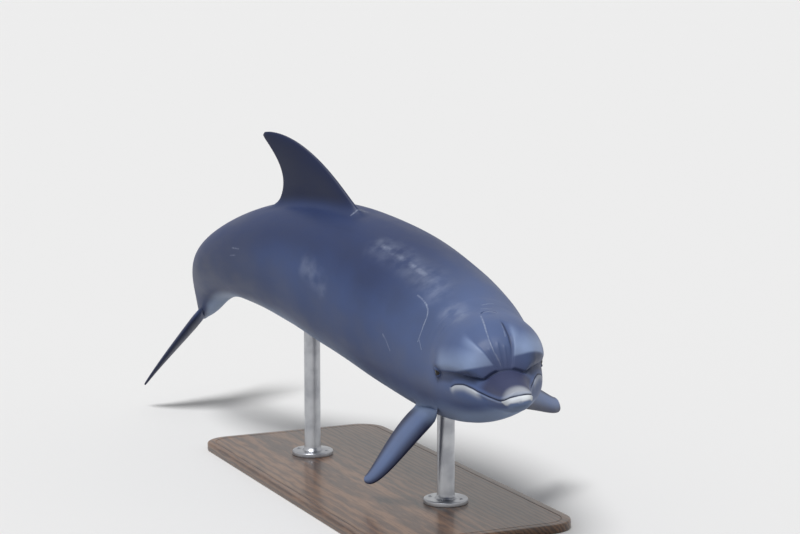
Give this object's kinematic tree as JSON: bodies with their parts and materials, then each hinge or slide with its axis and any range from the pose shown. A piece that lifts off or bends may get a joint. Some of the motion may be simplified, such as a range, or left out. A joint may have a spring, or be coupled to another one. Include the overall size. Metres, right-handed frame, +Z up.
{
  "type": "bottlenose dolphin model on a display stand",
  "caption": "Life-size still model of a bottlenose dolphin turning and banking, held over a flat base by short rods.",
  "frame": {"origin": "middle of the underside of the stand's base", "axes": "+Z up, +X the way the dolphin swims (the beak's end), +Y its left side; the base is square to the axes"},
  "size_m": [2.5765, 0.8041, 1.0751],
  "materials": {
    "skin": "satin painted skin, slate grey above and pale below, faint scars",
    "eye": "dark, wet gloss",
    "base": "dark stained, satin varnish",
    "rod": "brushed"
  },
  "bodies": {
    "root": {"beak": "skin", "lower_jaw": "skin", "head": "skin", "neck": "skin", "chest": "skin", "trunk": "skin", "loins": "skin", "tail_stock": "skin", "tail_root": "skin", "eye_left": "eye", "eye_right": "eye", "dorsal_fin": "skin", "pectoral_fin_left": "skin", "pectoral_fin_right": "skin", "fluke_left": "skin", "fluke_right": "skin", "stand_base": "base", "stand_flange_front": "rod", "stand_rod_front": "rod", "stand_flange_rear": "rod", "stand_rod_rear": "rod"}
  },
  "joints": []
}
